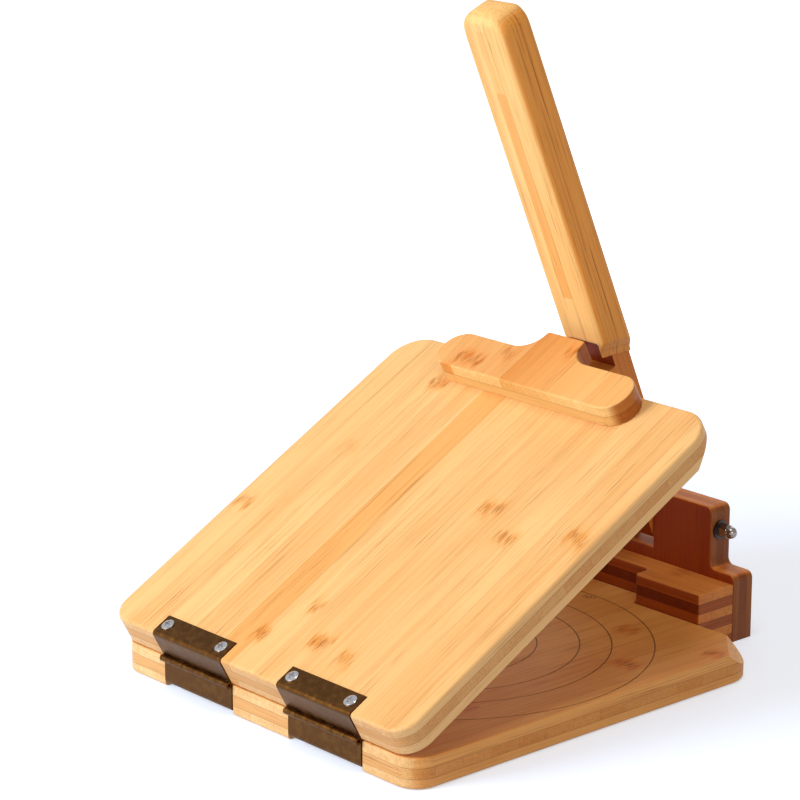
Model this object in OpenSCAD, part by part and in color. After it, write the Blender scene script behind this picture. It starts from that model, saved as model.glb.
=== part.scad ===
// Wooden tortilla press: hinged board on a base board, post with a slotted
// head, and a tall lever that swings on a cross rod.
// Millimetres. Origin: centre of the base board's underside. +X along the
// hinge line, +Y from the hinges towards the post, +Z up.
// The top board is drawn open and the lever leaning forward, as the press
// stands when it waits for dough.

/* [Boards] */
// Width of both boards along the hinge line
board_w = 262; // [230:1:300]
// Length of both boards from hinge edge to post edge
board_l = 274; // [250:1:310]
// Thickness of each board
board_t = 18.5; // [14:0.5:24]
// Plan radius of the board corners beside the hinges
corner_r = 15; // [8:1:22]
// Plan radius of the board corners at the post side
back_corner_r = 22; // [12:1:24]
// Rounding of the outer board edges
edge_r = 2; // [1:0.25:3]
// Rounding of the meeting board edges
seam_r = 0.8; // [0.4:0.1:1.2]
// Leg of the finger bevels at the post-side corners
bevel_leg = 26.6; // [22:0.2:30]
// Angle between the boards as drawn
open_angle = 28.6; // [24:0.1:34]

/* [Engraved rings] */
// Diameter of the largest ring, ten inches
ring_1_d = 254; // [220:1:258]
// Diameter of the second ring, eight inches
ring_2_d = 203.2; // [180:0.2:215]
// Diameter of the third ring, six and a half inches
ring_3_d = 165.1; // [145:0.1:175]
// Diameter of the smallest ring, four and a half inches
ring_4_d = 114.3; // [90:0.1:130]
// Width of an engraved line
ring_w = 0.7; // [0.4:0.1:1.2]
// Depth of an engraved line
ring_deep = 0.3; // [0.2:0.05:0.6]

/* [Press block] */
// Length of the block on the top board
press_w = 159; // [130:1:180]
// Depth of the block from front to back
press_d = 29.5; // [26:0.5:36]
// Thickness of the block
press_t = 15; // [10:0.5:20]
// Width of the tab that the lever bears on
tab_w = 32; // [26:1:44]
// Reach of the tab past the board edge
tab_reach = 17.5; // [16.5:0.25:18.5]
// Radius of the hollow on each side of the tab
tab_hollow_r = 15; // [10:0.5:16]
// Plan radius of the tab's corners
tab_corner = 2.5; // [1.5:0.25:4]
// Rounding of the press block's upper edges
press_r = 1.2; // [0.8:0.1:1.5]

/* [Step block and post] */
// Width of the foot of the post
foot_w = 163.2; // [140:0.2:190]
// Reach of the foot past each end of the step block
foot_past = 0.4; // [0:0.1:1.5]
// Height of the step block
step_h = 36.9; // [34:0.1:36.9]
// Depth of the step block
step_d = 30.2; // [26:0.2:36]
// Plan radius of the step block's inner front corners
lobe_r = 5; // [3:0.25:6]
// Plan radius of the recess's back corners
recess_r = 4; // [2.5:0.25:6]
// Rounding of the step block's edges
step_r = 1; // [0.6:0.1:1.6]
// Width of the recess in the step block's front
recess_w = 52; // [44:0.5:56]
// Depth of that recess
recess_d = 14.3; // [10:0.1:18]
// Thickness of the post
post_t = 17.75; // [16:0.25:22]
// Distance of the pivot axis behind the post's front
pivot_in = 8.25; // [7.75:0.05:9.5]
// Height of the post's foot
post_foot_h = 42.4; // [38:0.2:46]
// Width of the post's head
post_w = 123.4; // [105:0.2:140]
// Height of the post
post_h = 81.3; // [78:0.2:92]
// Play on each side of the lever's arm in the slot
slot_play = 0.8; // [0.4:0.1:1.6]
// Height of the slot floor
slot_floor_h = 44.6; // [43:0.1:45]
// Radius of the post's corners
post_r = 4.5; // [3:0.25:6]
// Rounding of the post's edges
soft_r = 1.5; // [0.8:0.1:2.5]

/* [Lever] */
// Height of the pivot rod's axis
pivot_h = 66; // [65.5:0.1:68]
// Lean of the lever from upright as drawn
lean_angle = 23.1; // [20:0.1:24]
// Width of the lever's arm, square in section
arm_w = 24.6; // [22:0.2:25]
// Depth of the arm's back behind the pivot axis
arm_back = 13.3; // [12.3:0.1:14]
// Reach of the arm below the pivot axis
arm_tail = 15; // [12:0.25:16]
// Distance from pivot to the top of the arm's thick part
arm_top = 110; // [104:0.5:116]
// Width of the handle
handle_w = 35; // [32:0.5:38]
// Thickness of the handle
handle_t = 19.7; // [18:0.1:21]
// Distance from the pivot to the handle's top
handle_top = 354.5; // [300:0.5:400]
// Distance from the pivot to the lower end of the handle's front
front_low = 131; // [126:0.5:140]
// Distance from the pivot to the front of the cheeks' lower ends
cheek_low = 119; // [115:0.5:123]
// Slope of the cheeks' lower ends in degrees
cheek_slope = 26; // [15:1:32]
// Radius of the hollow at the cheeks' lower ends
cove_r = 18; // [12:0.5:22]
// Wood left on the arm where the hollows run out
cove_left = 0.2; // [0.15:0.05:0.6]
// Radius of the cheeks' lower back corners
cheek_r = 3.5; // [2:0.5:7]
// Corner radius of the handle's top
top_r = 12; // [8:0.5:14]
// Rounding of the handle's long edges
grip_r = 4.2; // [2.5:0.1:4.2]
// Length of the tenon inside the handle
tenon_l = 80; // [50:1:120]
// Thickness of the handle's front layer over the tenon
front_layer = 6.2; // [4:0.1:8]

/* [Rod and nuts] */
// Diameter of the pivot rod
rod_d = 5; // [4:0.1:6]
// Running clearance round the rod
rod_play = 0.05; // [0.02:0.01:0.08]
// Outer diameter of the washers
washer_d = 12; // [10:0.5:15]
// Thickness of the washers
washer_t = 1.2; // [0.8:0.1:1.6]
// Width across flats of the acorn nuts
nut_af = 8; // [7.5:0.1:10]
// Height of the acorn nuts
nut_h = 11.7; // [9:0.1:13]

/* [Hinges] */
// Distance of each hinge from the middle
hinge_x = 56.7; // [48:0.1:64]
// Length of each hinge
hinge_w = 62.6; // [48:0.1:70]
// Thickness of the hinge leaves
leaf_t = 1.2; // [0.8:0.1:1.5]
// How far the leaves are let into the wood
leaf_in = 0.6; // [0.4:0.05:0.8]
// Width of the leaf part lying on the board
leaf_flat = 14.5; // [12.5:0.25:18]
// Space between the floor and the lower leaf
floor_gap = 2.1; // [1.9:0.05:2.6]
// Radius of the hinge barrel
barrel_r = 2.1; // [1.9:0.05:2.4]
// Radius of the hinge pin
pin_r = 1; // [0.8:0.05:1.1]
// Running clearance round the hinge pin
pin_play = 0.05; // [0.02:0.01:0.08]
// Gap between neighbouring knuckles
knuckle_gap = 0.3; // [0.2:0.05:0.5]
// Distance of the screws from the leaf ends
screw_in = 6.4; // [5.5:0.1:9]
// Distance of the screws from the board edge
screw_y = 8; // [7:0.1:9]
// Diameter of the screw heads
screw_head_d = 8; // [6:0.1:9]
// Height of the screw heads
screw_head_h = 1.7; // [1.2:0.1:1.8]
// Diameter of the screw shanks
screw_d = 3; // [2.4:0.1:3.6]
// Length of the screws under the head
screw_l = 11; // [8:0.5:12]

/* [Hidden] */
$fn = 96;
eps = 0.01;
knuckles = 6;
hinge_y = -barrel_r - 0.1;          // barrel axis in front of the boards
seam_set = 0.3;                     // leaves stop short of the seam
pocket_play = 0.5;                  // pocket past each end of a leaf
glue = 0.1;                         // room round the tenon
ring_y = board_l / 2 + 1;           // centre of the rings
step_y = board_l;                   // front of the step block
step_w = foot_w - 2 * foot_past;    // width of the step block
post_y = step_y + step_d;           // front of the post
pivot_y = post_y + pivot_in;        // pivot axis
slot_w = arm_w + 2 * slot_play;
arm_half = arm_w / 2;
arm_d = arm_half + arm_back;          // depth of the arm, front to back
front_n = handle_t - arm_back;      // handle's front plane from the pivot
tongue_w = recess_w - 0.6;
tongue_l = recess_d - 0.2;
press_y = board_l - press_d;        // front of the press block, closed
pin_l = hinge_w - 3;
knuckle_l = (hinge_w - (knuckles - 1) * knuckle_gap) / knuckles;
barrel_bore = pin_r + pin_play;
bend_r = edge_r;                    // leaf bends share the board's centre

// ---- helpers -------------------------------------------------------------

// Rectangle a by b with its own radii for the upper and lower corners.
module soft_rect(a, b, r_up, r_low) {
  union() {
    translate([-a / 2, r_low]) square([a, b - r_up - r_low]);
    translate([-a / 2 + r_up, b - r_up - eps]) square([a - 2 * r_up, r_up + eps]);
    translate([-a / 2 + r_low, 0]) square([a - 2 * r_low, r_low + eps]);
    for (s = [-1, 1]) {
      translate([s * (a / 2 - r_up), b - r_up]) circle(r = r_up);
      translate([s * (a / 2 - r_low), r_low]) circle(r = r_low);
    }
  }
}

// Board w by l by t, standing on z = 0 and centred in plan, with plan
// corners r (r_back at the +Y end) and edges r_up above and r_low below.
module soft_board(w, l, t, r, r_up, r_low, r_back = 0) {
  rb = r_back > 0 ? r_back : r;
  union() {
    for (sx = [-1, 1], sy = [-1, 1]) {
      rc = sy > 0 ? rb : r;
      translate([sx * (w / 2 - rc), sy * (l / 2 - rc), 0])
        rotate_extrude()
          intersection() {
            soft_rect(2 * rc, t, r_up, r_low);
            square([rc + 1, t + 1]);
          }
    }
    // slab between the corners, along Y
    translate([0, l / 2 - rb, 0]) rotate([90, 0, 0])
      linear_extrude(height = l - r - rb) soft_rect(w, t, r_up, r_low);
    // slabs between the corners, along X
    if (rb == r)
      translate([-w / 2 + r, 0, 0]) rotate([90, 0, 90])
        linear_extrude(height = w - 2 * r) soft_rect(l, t, r_up, r_low);
    else
      for (half = [[-1, r], [1, rb]])
        translate([-w / 2 + half[1], 0, 0]) rotate([90, 0, 90])
          linear_extrude(height = w - 2 * half[1]) intersection() {
            soft_rect(l, t, r_up, r_low);
            translate([half[0] < 0 ? -l : -eps, -1]) square([l, t + 2]);
          }
  }
}

// Solid corner web, t thick, hollowed to radius r with edges rounded by e;
// it fills the angle between +X and +Y at the origin and reaches into the
// walls on both sides, whose edges are rounded by e too.
module hollow_web(r, t, e) {
  root = 0.5;
  difference() {
    translate([-e - root, -e - root, 0])
      cube([r + e + root, r + e + root, t]);
    translate([r, r, 0]) rotate_extrude() union() {
      translate([0, -1]) square([r, t + 2]);
      difference() {
        translate([r - eps, -1]) square([e + eps, t + 2]);
        translate([r - 2 * eps, e]) square([e + 1, t - 2 * e]);
        translate([r + e, e]) circle(r = e);
        translate([r + e, t - e]) circle(r = e);
      }
    }
  }
}

// The two finger bevels that thin a board's post-side corners from above.
module finger_bevels() {
  for (s = [-1, 1])
    translate([s * (board_w / 2 - bevel_leg / 2),
               board_l - bevel_leg / 2, board_t])
      rotate([0, 0, s * -45]) rotate([45, 0, 0])
        translate([-1.5 * bevel_leg, 0, -2 * bevel_leg])
          cube([3 * bevel_leg, 2 * bevel_leg, 4 * bevel_leg]);
}

// Outline in side view of the room a leaf takes from a board, y from the
// board's hinge edge, z from the seam; grow is added outwards.
module leaf_room(grow) {
  difference() {
    translate([-6, -6]) square([6 + leaf_flat + grow, board_t + 12]);
    translate([leaf_in, -7])
      square([leaf_flat + 20, board_t - bend_r + 7]);
    translate([bend_r, -7])
      square([leaf_flat + 20, board_t - leaf_in + 7]);
    translate([bend_r, board_t - bend_r]) circle(r = bend_r - leaf_in);
  }
}

// Outline in side view of a leaf: front flange, bend and flat.
module leaf_line() {
  out_r = bend_r - leaf_in + leaf_t;
  union() {
    translate([leaf_in - leaf_t, seam_set])
      square([leaf_t, board_t - bend_r - seam_set + eps]);
    translate([bend_r - eps, board_t - leaf_in])
      square([leaf_flat - bend_r + eps, leaf_t]);
    intersection() {
      translate([bend_r, board_t - bend_r]) difference() {
        circle(r = out_r);
        circle(r = bend_r - leaf_in);
      }
      translate([bend_r - out_r - 1, board_t - bend_r])
        square([out_r + 1, out_r + 1]);
    }
  }
}

// Run a side-view outline (y, z) along x over length w, centred on x.
module along_x(x, w) {
  translate([x - w / 2, 0, 0]) rotate([90, 0, 90])
    linear_extrude(height = w) children();
}

// One leaf with its knuckles, at the hinge centred on x; first says which
// knuckles it carries. Drawn upwards from the seam at z = 0.
module leaf(x, first) {
  difference() {
    union() {
      along_x(x, hinge_w) leaf_line();
      for (k = [first : 2 : knuckles - 1])
        along_x(x - hinge_w / 2 + knuckle_l / 2
                + k * (knuckle_l + knuckle_gap), knuckle_l)
          union() {
            translate([hinge_y, 0]) circle(r = barrel_r);
            translate([hinge_y, 0])
              square([-hinge_y + leaf_in, seam_set + leaf_t]);
          }
    }
    along_x(x, hinge_w + 2)
      translate([hinge_y, 0]) circle(r = barrel_bore);
    // room for the other leaf's knuckles
    for (k = [1 - first : 2 : knuckles - 1])
      along_x(x - hinge_w / 2 + knuckle_l / 2
              + k * (knuckle_l + knuckle_gap),
              knuckle_l + 2 * knuckle_gap)
        translate([hinge_y, 0]) circle(r = barrel_r + 0.3);
    for (s = [-1, 1])
      translate([x + s * (hinge_w / 2 - screw_in), screw_y, board_t - 3])
        cylinder(r = screw_d / 2 + 0.15, h = 6);
  }
}

// Pan-head screw with a cross recess, head underside at z = 0.
module pan_screw() {
  difference() {
    union() {
      translate([0, 0, -screw_l + 2]) cylinder(r = screw_d / 2, h = screw_l - 2);
      translate([0, 0, -screw_l])
        cylinder(r1 = 0.3, r2 = screw_d / 2, h = 2 + eps);
      rotate_extrude() intersection() {
        translate([0, screw_head_h - screw_head_d * 1.1])
          circle(r = screw_head_d * 1.1);
        square([screw_head_d / 2, screw_head_h]);
      }
    }
    for (a = [0, 90]) rotate([0, 0, a])
      translate([-screw_head_d * 0.28, -0.45, screw_head_h - 1])
        cube([screw_head_d * 0.56, 0.9, 2]);
  }
}

// Pilot holes for the screws of both hinges, from the flat of the leaves.
module pilot_holes() {
  for (h = [-1, 1], s = [-1, 1])
    translate([h * hinge_x + s * (hinge_w / 2 - screw_in), screw_y,
               board_t - leaf_in + leaf_t - screw_l - 0.2])
      cylinder(r = screw_d / 2 + 0.05, h = screw_l + 3);
}

module screws_up() {
  for (h = [-1, 1], s = [-1, 1])
    translate([h * hinge_x + s * (hinge_w / 2 - screw_in), screw_y,
               board_t - leaf_in + leaf_t])
      pan_screw();
}

// Frames: the base sits with its hinge edge on y = 0 before it is moved to
// the origin; the top board turns about the barrel; the lever about its rod.
module on_base() {
  translate([0, -board_l / 2, 0]) children();
}
module on_top() {
  on_base() translate([0, hinge_y, board_t]) rotate([open_angle, 0, 0])
    translate([0, -hinge_y, 0]) children();
}
module on_lever() {
  on_base() translate([0, pivot_y, pivot_h]) rotate([lean_angle, 0, 0])
    children();
}
// Turns something drawn upwards from the seam to hang below it. The lower
// leaf's flat lies floor_gap above the floor.
module below_seam() {
  translate([0, 0, board_t]) mirror([0, 0, 1]) children();
}

// ---- base ----------------------------------------------------------------

module base_board() {
  color([0.87, 0.68, 0.40]) on_base() difference() {
    union() {
      translate([0, board_l / 2, 0])
        soft_board(board_w, board_l, board_t, corner_r, seam_r, edge_r,
                   back_corner_r);
      // tongue that fills the step block's recess
      translate([0, board_l - 10 + tongue_l / 2, 0])
        soft_board(tongue_w, tongue_l + 20, board_t, recess_r,
                   seam_r, seam_r);
    }
    finger_bevels();
    for (d = [ring_1_d, ring_2_d, ring_3_d, ring_4_d])
      translate([0, ring_y, board_t - ring_deep]) difference() {
        cylinder(r = d / 2 + ring_w / 2, h = 2);
        translate([0, 0, -1]) cylinder(r = d / 2 - ring_w / 2, h = 4);
      }
    for (h = [-1, 1]) {
      below_seam() along_x(h * hinge_x, hinge_w + 2 * pocket_play)
        lower_room();
    }
    below_seam() translate([0, 0, -lower_lift()]) pilot_holes();
  }
}

// The lower leaf is lifted so that its flat and screw heads clear the floor.
function lower_lift() = floor_gap + leaf_t - leaf_in;

// Room for the lower leaf: as leaf_room, but the flat lies higher.
module lower_room() {
  lift = lower_lift();
  difference() {
    translate([-6, -6]) square([6 + leaf_flat + pocket_play, board_t + 12]);
    translate([leaf_in, -7])
      square([leaf_flat + 20, board_t - lift - bend_r + 7]);
    translate([bend_r, -7])
      square([leaf_flat + 20, board_t - lift - leaf_in + 7]);
    translate([bend_r, board_t - lift - bend_r])
      circle(r = bend_r - leaf_in);
  }
}

// Lower leaf outline: the front flange is shorter by the lift.
module lower_leaf_line() {
  lift = lower_lift();
  out_r = bend_r - leaf_in + leaf_t;
  union() {
    translate([leaf_in - leaf_t, seam_set])
      square([leaf_t, board_t - lift - bend_r - seam_set + eps]);
    translate([bend_r - eps, board_t - lift - leaf_in])
      square([leaf_flat - bend_r + eps, leaf_t]);
    intersection() {
      translate([bend_r, board_t - lift - bend_r]) difference() {
        circle(r = out_r);
        circle(r = bend_r - leaf_in);
      }
      translate([bend_r - out_r - 1, board_t - lift - bend_r])
        square([out_r + 1, out_r + 1]);
    }
  }
}

module lower_leaf(x) {
  difference() {
    union() {
      along_x(x, hinge_w) lower_leaf_line();
      for (k = [1 : 2 : knuckles - 1])
        along_x(x - hinge_w / 2 + knuckle_l / 2
                + k * (knuckle_l + knuckle_gap), knuckle_l)
          union() {
            translate([hinge_y, 0]) circle(r = barrel_r);
            translate([hinge_y, 0])
              square([-hinge_y + leaf_in, seam_set + leaf_t]);
          }
    }
    along_x(x, hinge_w + 2)
      translate([hinge_y, 0]) circle(r = barrel_bore);
    for (k = [0 : 2 : knuckles - 1])
      along_x(x - hinge_w / 2 + knuckle_l / 2
              + k * (knuckle_l + knuckle_gap),
              knuckle_l + 2 * knuckle_gap)
        translate([hinge_y, 0]) circle(r = barrel_r + 0.3);
    for (s = [-1, 1])
      translate([x + s * (hinge_w / 2 - screw_in), screw_y,
                 board_t - lower_lift() - 3])
        cylinder(r = screw_d / 2 + 0.15, h = 6);
  }
}

module lower_leaf_left() {
  color([0.42, 0.33, 0.22]) on_base() below_seam() lower_leaf(-hinge_x);
}
module lower_leaf_right() {
  color([0.42, 0.33, 0.22]) on_base() below_seam() lower_leaf(hinge_x);
}

module base_screws() {
  color([0.75, 0.73, 0.70]) on_base() below_seam()
    translate([0, 0, -lower_lift()]) screws_up();
}

module hinge_pin(x) {
  color([0.35, 0.30, 0.24]) on_base()
    translate([x - pin_l / 2, hinge_y, board_t]) rotate([0, 90, 0])
      cylinder(r = pin_r, h = pin_l);
}
module hinge_pin_left() { hinge_pin(-hinge_x); }
module hinge_pin_right() { hinge_pin(hinge_x); }

// ---- step block and post -------------------------------------------------

module step_block() {
  lobe = (step_w - recess_w) / 2;
  over = 12;
  crisp = step_r + 0.3;
  color([0.80, 0.56, 0.30]) on_base() intersection() {
    union() {
      for (s = [-1, 1]) {
        translate([s * (recess_w / 2 + lobe / 2),
                   step_y + (step_d + over) / 2, 0])
          soft_board(lobe, step_d + over, step_h, lobe_r, step_r, step_r);
        // the outer front corner is nearly sharp
        translate([s * (step_w / 2 - lobe / 4),
                   step_y + (step_d + over) / 2, 0])
          soft_board(lobe / 2, step_d + over, step_h, crisp,
                     step_r, step_r);
      }
      // wall behind the recess
      translate([-recess_w / 2 - 2 * lobe_r, step_y + recess_d + over, 0])
        rotate([90, 0, 90]) linear_extrude(height = recess_w + 4 * lobe_r)
          soft_rect(2 * over, step_h, step_r, step_r);
      for (s = [-1, 1])
        translate([s * recess_w / 2, step_y + recess_d, 0])
          mirror([s > 0 ? 1 : 0, 0, 0]) mirror([0, 1, 0])
            hollow_web(recess_r, step_h, step_r);
    }
    translate([-step_w, step_y, -1]) cube([2 * step_w, step_d, step_h + 2]);
  }
}

// Post face outline pieces, drawn flat: x across, second axis up.
module post() {
  over = 10;
  pillar = (post_w - slot_w) / 2;
  color([0.78, 0.54, 0.28]) on_base() difference() {
    translate([0, post_y + post_t, 0]) rotate([90, 0, 0])
      union() {
        translate([0, (post_foot_h - over) / 2, 0])
          soft_board(foot_w, post_foot_h + over, post_t, post_r,
                     soft_r, soft_r);
        for (s = [-1, 1]) {
          translate([s * (slot_w / 2 + pillar / 2),
                     (post_h + 10) / 2, 0])
            soft_board(pillar, post_h - 10, post_t, post_r,
                       soft_r, soft_r);
          translate([s * post_w / 2, post_foot_h, 0])
            mirror([s < 0 ? 1 : 0, 0, 0])
              hollow_web(post_r, post_t, soft_r);
        }
        // floor of the slot
        translate([-slot_w / 2 - 8, slot_floor_h / 2 + 5, 0])
          rotate([90, 0, 90]) linear_extrude(height = slot_w + 16)
            soft_rect(slot_floor_h - 10, post_t, soft_r, soft_r);
      }
    translate([-foot_w, post_y - 1, -20]) cube([2 * foot_w, post_t + 2, 20]);
    translate([-foot_w, pivot_y, pivot_h]) rotate([0, 90, 0])
      cylinder(r = rod_d / 2 + rod_play, h = 2 * foot_w);
  }
}

module pivot_rod() {
  grip = nut_h - nut_af * 0.45;
  color([0.62, 0.61, 0.60]) on_base()
    translate([-post_w / 2 - washer_t - grip, pivot_y, pivot_h])
      rotate([0, 90, 0])
        cylinder(r = rod_d / 2, h = post_w + 2 * washer_t + 2 * grip);
}

module washers() {
  color([0.38, 0.36, 0.34]) on_base() for (s = [-1, 1])
    translate([s * post_w / 2, pivot_y, pivot_h]) rotate([0, s * 90, 0])
      difference() {
        cylinder(r = washer_d / 2, h = washer_t);
        translate([0, 0, -1])
          cylinder(r = rod_d / 2 + rod_play, h = washer_t + 2);
      }
}

// Acorn nut: hexagon with its front corners turned off, then a dome.
module acorn_nuts() {
  dome_r = nut_af / 2 * 0.94;
  hex_h = nut_h - dome_r - 0.9;
  grip = nut_h - nut_af * 0.45;
  color([0.80, 0.79, 0.77]) on_base() for (s = [-1, 1])
    translate([s * (post_w / 2 + washer_t), pivot_y, pivot_h])
      rotate([0, s * 90, 0]) difference() {
        union() {
          intersection() {
            cylinder(r = nut_af / sqrt(3), h = hex_h, $fn = 6);
            translate([0, 0, -0.7])
              cylinder(r1 = nut_af / sqrt(3) + 0.45 + hex_h,
                       r2 = nut_af / sqrt(3) - 0.25,
                       h = hex_h + 0.7);
          }
          cylinder(r = dome_r, h = nut_h - dome_r);
          translate([0, 0, nut_h - dome_r]) sphere(r = dome_r);
        }
        translate([0, 0, -1]) cylinder(r = rod_d / 2 + rod_play,
                                       h = grip + 1.3);
      }
}

// ---- top board -----------------------------------------------------------

module top_board() {
  color([0.90, 0.71, 0.42]) on_top() difference() {
    translate([0, board_l / 2, 0])
      soft_board(board_w, board_l, board_t, corner_r, edge_r, seam_r,
                 back_corner_r);
    translate([0, 0, board_t]) mirror([0, 0, 1]) finger_bevels();
    for (h = [-1, 1])
      along_x(h * hinge_x, hinge_w + 2 * pocket_play)
        leaf_room(pocket_play);
    pilot_holes();
  }
}

module press_block() {
  end_r = press_d / 2 - 0.5;
  tab_l = tab_reach + press_d - 4;
  color([0.86, 0.62, 0.35]) on_top() translate([0, 0, board_t]) union() {
    translate([0, press_y + press_d / 2, 0])
      soft_board(press_w, press_d, press_t, end_r, press_r, press_r);
    translate([0, board_l + tab_reach - tab_l / 2, 0])
      soft_board(tab_w, tab_l, press_t, tab_corner, press_r, press_r);
    for (s = [-1, 1])
      translate([s * tab_w / 2, board_l, 0])
        mirror([s < 0 ? 1 : 0, 0, 0])
          hollow_web(min(tab_hollow_r, tab_reach - tab_corner),
                     press_t, press_r);
  }
}

module upper_leaf_left() {
  color([0.42, 0.33, 0.22]) on_top() leaf(-hinge_x, 0);
}
module upper_leaf_right() {
  color([0.42, 0.33, 0.22]) on_top() leaf(hinge_x, 0);
}

module lid_screws() {
  color([0.75, 0.73, 0.70]) on_top() screws_up();
}

// ---- lever ---------------------------------------------------------------
// Lever axes: z up the lever, y behind it, x across; the pivot is at zero.

module lever_handle() {
  low = cheek_low - 30;
  // height at which the back corner's rounding starts
  round_z = cheek_low - handle_t * tan(cheek_slope) + cheek_r * 1.05;
  color([0.90, 0.66, 0.36]) on_lever() difference() {
    translate([0, -front_n, (handle_top + low) / 2])
      rotate([90, 0, 0]) mirror([0, 0, 1])
        soft_board(handle_w, handle_top - low, handle_t, top_r,
                   grip_r, grip_r);
    // open the front below the front layer's end
    translate([-arm_half - glue, -front_n - 1, low - 10])
      cube([arm_w + 2 * glue, handle_t + 2, front_low - low + 10]);
    // housing for the tenon, open at the back
    translate([-arm_half - glue, -front_n + front_layer - glue, low])
      cube([arm_w + 2 * glue, handle_t, front_low + tenon_l - low + glue]);
    // cheeks end in hollows that slope towards the back
    for (s = [-1, 1])
      translate([s * (arm_half + cove_left + cove_r), -front_n, cheek_low])
        rotate([-cheek_slope, 0, 0]) {
          translate([0, -handle_t, 0]) rotate([-90, 0, 0])
            cylinder(r = cove_r, h = 4 * handle_t);
          translate([-handle_w, -handle_t, -3 * handle_w])
            cube([2 * handle_w, 4 * handle_t, 3 * handle_w]);
        }
    // and their lower back corners are rounded
    translate([-handle_w, handle_t - front_n - cheek_r, round_z])
      difference() {
        translate([0, 0, -3 * handle_w])
          cube([2 * handle_w, cheek_r + 1, 3 * handle_w]);
        rotate([0, 90, 0]) translate([0, 0, -1])
          cylinder(r = cheek_r, h = 2 * handle_w + 2);
      }
  }
}

module lever_arm() {
  tail_r = 6;
  color([0.74, 0.50, 0.26]) on_lever() difference() {
    union() {
      // thick part on the pivot with a rounded tail and shoulder
      translate([-arm_half, 0, 0]) rotate([90, 0, 90])
        linear_extrude(height = arm_w) union() {
          translate([-arm_half, -arm_tail + tail_r])
            square([arm_d, arm_top - tail_r + arm_tail - tail_r]);
          translate([-arm_half + tail_r, -arm_tail])
            square([arm_d - 2 * tail_r, tail_r + eps]);
          translate([-arm_half + tail_r, arm_top - tail_r - eps])
            square([arm_d - tail_r, tail_r + eps]);
          for (y = [-arm_half + tail_r, arm_back - tail_r])
            translate([y, -arm_tail + tail_r])
              circle(r = tail_r);
          translate([-arm_half + tail_r, arm_top - tail_r])
            circle(r = tail_r);
        }
      // tenon inside the handle
      translate([-arm_half, -front_n + front_layer, arm_top - 10])
        cube([arm_w, handle_t - front_layer,
              front_low + tenon_l - arm_top + 10]);
    }
    translate([-arm_w, 0, 0]) rotate([0, 90, 0])
      cylinder(r = rod_d / 2 + rod_play, h = 2 * arm_w);
  }
}

base_board();
step_block();
post();
pivot_rod();
washers();
acorn_nuts();
lower_leaf_left();
lower_leaf_right();
hinge_pin_left();
hinge_pin_right();
base_screws();
top_board();
press_block();
upper_leaf_left();
upper_leaf_right();
lid_screws();
lever_handle();
lever_arm();
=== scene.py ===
"""Dresses the tortilla press: bamboo boards, bronzed hinges, rod, lever and studio.

Everything is in metres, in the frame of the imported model: +X along the hinge
line, +Y from the hinges to the post, +Z up, origin under the base board.
"""

import logging
import math
from dataclasses import dataclass
from enum import Enum
from typing import Callable, Sequence

import bmesh
import bpy
import numpy as np
from mathutils import Matrix, Vector


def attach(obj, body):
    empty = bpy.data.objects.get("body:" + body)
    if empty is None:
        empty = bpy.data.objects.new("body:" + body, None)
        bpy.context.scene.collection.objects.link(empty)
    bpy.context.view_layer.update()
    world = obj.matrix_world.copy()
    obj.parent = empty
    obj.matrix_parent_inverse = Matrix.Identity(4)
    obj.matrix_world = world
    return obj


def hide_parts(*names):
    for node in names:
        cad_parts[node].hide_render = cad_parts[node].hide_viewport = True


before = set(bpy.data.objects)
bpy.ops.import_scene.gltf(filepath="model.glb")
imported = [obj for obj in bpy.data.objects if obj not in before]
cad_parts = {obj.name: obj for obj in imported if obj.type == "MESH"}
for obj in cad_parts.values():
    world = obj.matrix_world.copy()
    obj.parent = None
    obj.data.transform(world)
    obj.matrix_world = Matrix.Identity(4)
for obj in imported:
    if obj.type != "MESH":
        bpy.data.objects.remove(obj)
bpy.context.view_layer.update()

LOG = logging.getLogger("press")
logging.basicConfig(level=logging.INFO, format="%(name)s: %(message)s")

MM = 0.001
BOARD_LENGTH = 274.0
BOARD_THICKNESS = 18.5
PLY = BOARD_THICKNESS / 3
PRESS_PLY = 7.5
HINGE_OUT = 2.2
STEP_DEPTH = 30.2
PIVOT_IN = 8.25
HINGE_Y = -BOARD_LENGTH / 2 - HINGE_OUT
POST_Y = BOARD_LENGTH / 2 + STEP_DEPTH
PIVOT_Y = POST_Y + PIVOT_IN
PIVOT_Z = 66.0
OPEN_ANGLE = 28.6
LEAN_ANGLE = 23.1

CULM_SPACING = 290.0
RING_CENTRE_Y = 1.0
SENSOR_WIDTH = 36.0

Point = tuple[float, float, float]
Colour = tuple[float, float, float]
Tint = tuple[int, int, int]
Socket = bpy.types.NodeSocket
Tree = bpy.types.NodeTree

STAIN_TINT: Tint = (232, 150, 62)
DASH_TINT: Tint = (160, 94, 30)
RING_TINT: Tint = (104, 54, 22)


def linear(red: int, green: int, blue: int) -> tuple[float, float, float, float]:
    """Turn a display colour into the linear colour that shaders take.

    Args:
        red: Red from 0 to 255.
        green: Green from 0 to 255.
        blue: Blue from 0 to 255.

    Returns:
        The linear red, green, blue and an alpha of one.
    """

    def channel(value: int) -> float:
        """Undo the display curve for one channel."""
        part = value / 255
        return part / 12.92 if part <= 0.04045 else ((part + 0.055) / 1.055) ** 2.4

    return channel(red), channel(green), channel(blue), 1.0


class Grain(Enum):
    """Which way the fibres of a piece run, as a turn into the wood's own axes.

    The wood's own axes are x across the strips, y along the fibres and z
    through the layers.
    """

    BOARD = "board"
    LID = "lid"
    BLOCK = "block"
    POST = "post"
    LEVER = "lever"


# --------------------------------------------------------------------------
# Shader building
# --------------------------------------------------------------------------


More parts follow.
